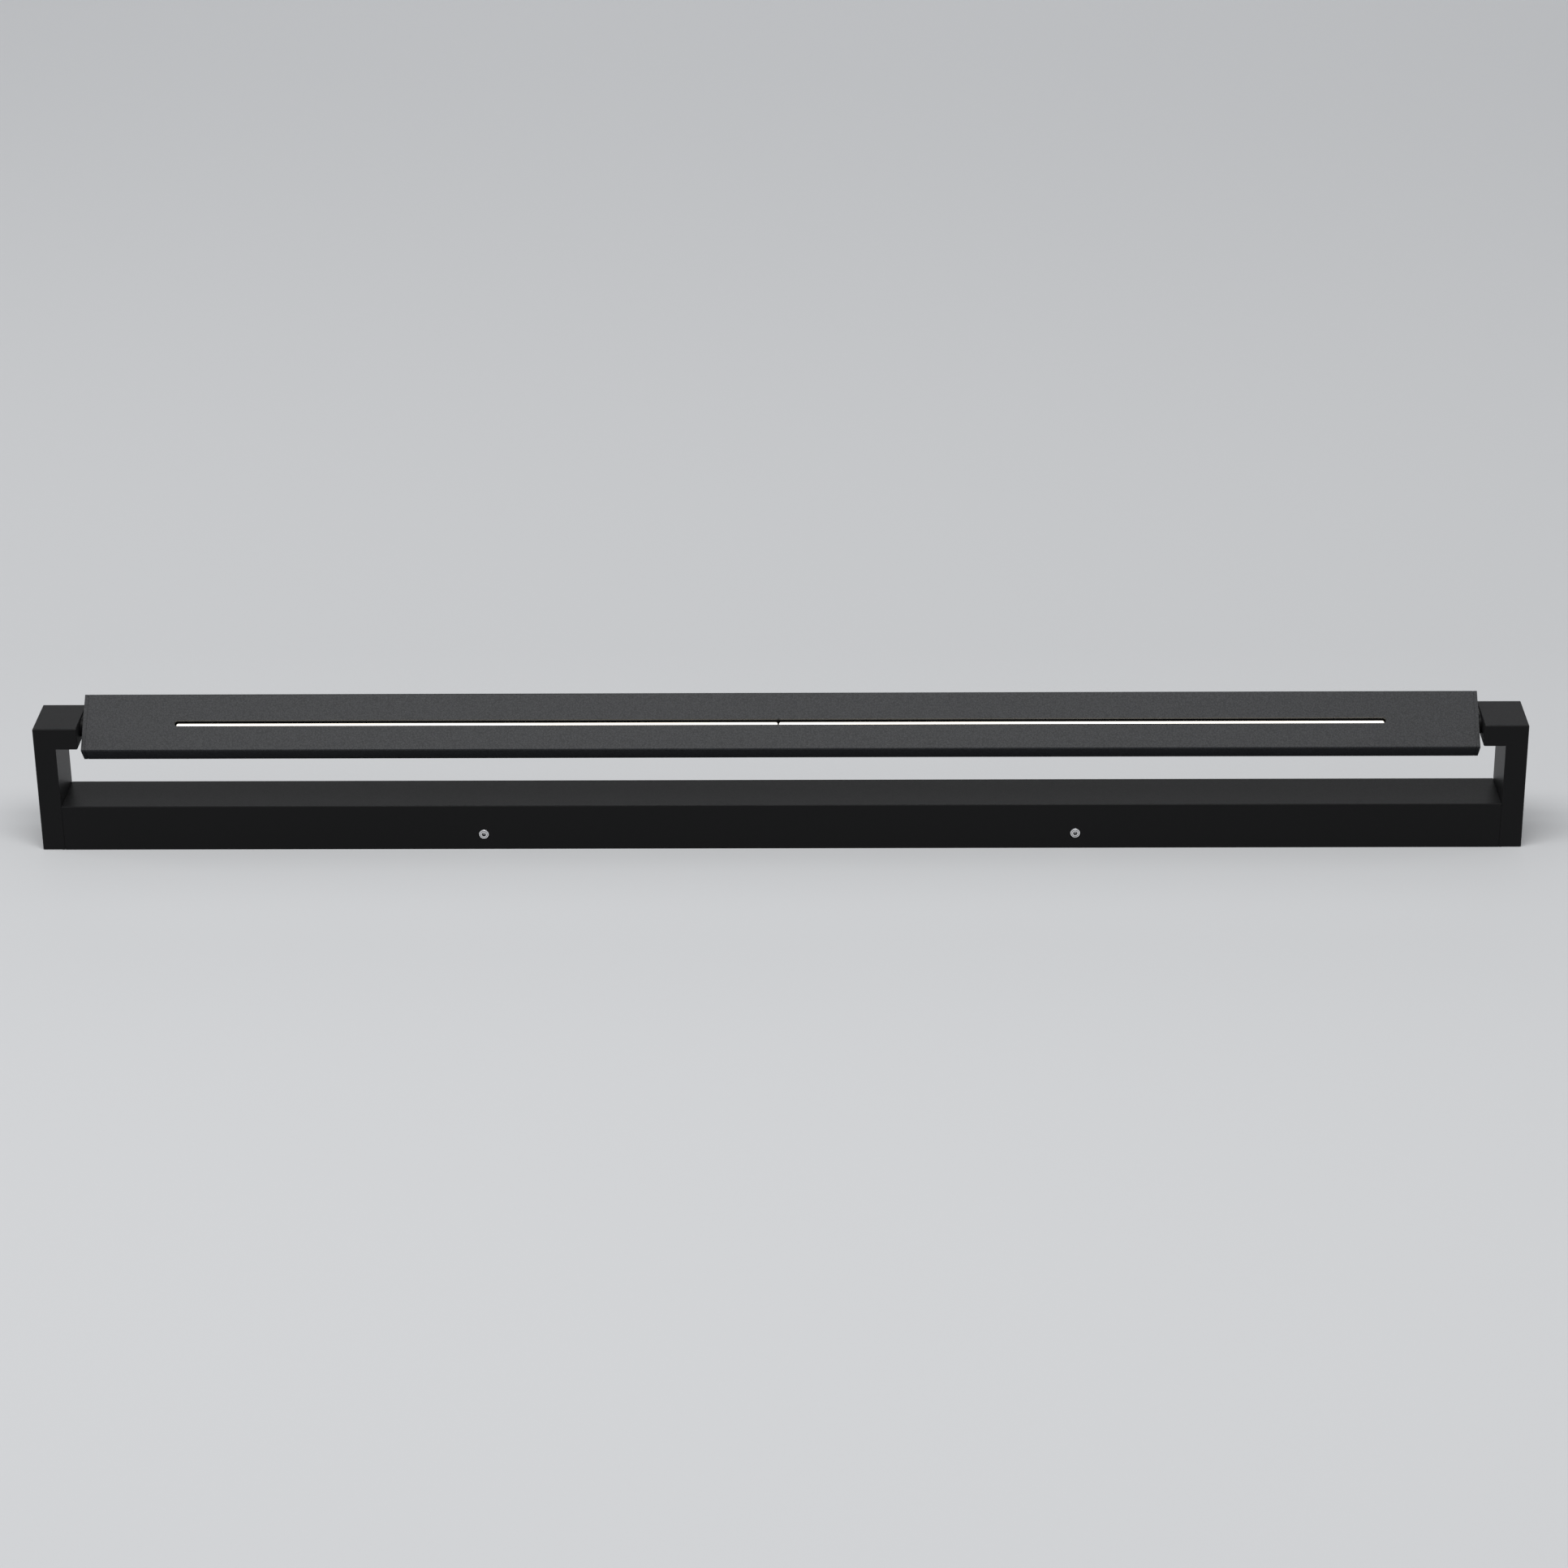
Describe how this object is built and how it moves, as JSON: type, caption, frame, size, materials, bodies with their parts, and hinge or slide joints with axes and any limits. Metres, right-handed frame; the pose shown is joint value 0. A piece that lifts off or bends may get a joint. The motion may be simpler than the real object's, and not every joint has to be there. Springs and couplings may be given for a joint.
{
  "type": "vanity light bar",
  "caption": "Slim black wall light bar: a flat head with a long narrow light slot tilts between two square arms on a channel base with a hidden bracket and driver.",
  "frame": {"origin": "centre of the face that lies on the wall", "axes": "+X along the bar, to the right when the locking screws face the viewer and the wall face is down; +Z straight out of the wall; -Y towards the side with the two locking screws, the underside once mounted above a mirror"},
  "size_m": [0.914, 0.038, 0.0924],
  "materials": {
    "black_satin_paint": "smooth satin black powder coat",
    "black_sand_paint": "fine sand-textured black powder coat",
    "zinc_steel": "bright zinc plate",
    "bright_steel": "bright stainless",
    "black_screws": "black oxide",
    "green_steel": "green passivated",
    "tinned_brass": "tinned",
    "brass_nut": "turned",
    "spring_steel": "phosphated",
    "black_nylon": "moulded",
    "black_rubber": "moulded",
    "green_insulation": "PVC insulation",
    "black_insulation": "PVC insulation",
    "white_insulation": "PVC insulation",
    "grey_insulation": "PVC sheath",
    "dark_polyamide": "moulded",
    "white_polycarbonate": "moulded",
    "green_laminate": "solder-masked glass laminate",
    "green_connector": "moulded",
    "ferrite_and_tape": "ferrite with wound bobbin",
    "capacitor_sleeve": "shrink sleeve",
    "copper_winding": "enamelled wire",
    "white_laminate": "white solder mask",
    "thermal_tape": "thermally conductive tape",
    "lit_diffuser": "frosted, lit from behind",
    "led_phosphor": "phosphor over a lit chip"
  },
  "bodies": {
    "base": {"base_housing": "black_satin_paint", "wall_bracket": "zinc_steel", "locking_screws": "bright_steel", "supply_bushing": "black_nylon", "ground_screw": "green_steel", "ground_terminal": "tinned_brass", "ground_wire": "green_insulation", "terminal_block": "dark_polyamide", "terminal_screws": "bright_steel", "terminal_mount_screws": "bright_steel", "line_wire": "black_insulation", "neutral_wire": "white_insulation", "rear_cover_left": "black_satin_paint", "rear_cover_right": "black_satin_paint", "driver_case": "white_polycarbonate", "driver_lid": "white_polycarbonate", "driver_lid_screws": "bright_steel", "driver_mount_screws": "bright_steel", "driver_board": "green_laminate", "driver_connectors": "green_connector", "driver_transformer": "ferrite_and_tape", "driver_capacitors": "capacitor_sleeve", "driver_choke": "copper_winding", "driver_cable": "grey_insulation", "left_arm": "black_satin_paint", "right_arm": "black_satin_paint", "left_arm_cover": "black_satin_paint", "right_arm_cover": "black_satin_paint", "arm_cover_screws": "black_screws", "arm_fixing_screws": "bright_steel", "arm_grommet": "black_rubber", "left_pivot_bushing": "black_nylon", "right_pivot_bushing": "black_nylon"},
    "head": {"head_profile": "black_sand_paint", "head_cap_left": "black_sand_paint", "head_cap_right": "black_sand_paint", "head_cap_screws": "black_screws", "left_pivot_shaft": "zinc_steel", "right_pivot_shaft": "zinc_steel", "spacer_washers": "black_nylon", "thrust_washers": "zinc_steel", "disc_springs": "spring_steel", "pivot_nuts": "brass_nut", "lens_left": "lit_diffuser", "lens_right": "lit_diffuser", "lens_joiner": "black_nylon", "led_board_left": "white_laminate", "led_board_right": "white_laminate", "leds_left": "led_phosphor", "leds_right": "led_phosphor", "thermal_tape_left": "thermal_tape", "thermal_tape_right": "thermal_tape", "board_link": "tinned_brass", "head_cable": "grey_insulation"}
  },
  "joints": [
    {"name": "head_tilt", "type": "hinge", "parent": "base", "child": "head", "pos_m": [0, 0, 0.07495], "axis": [1, 0, 0], "range_deg": [-132.5, 47.5]}
  ]
}
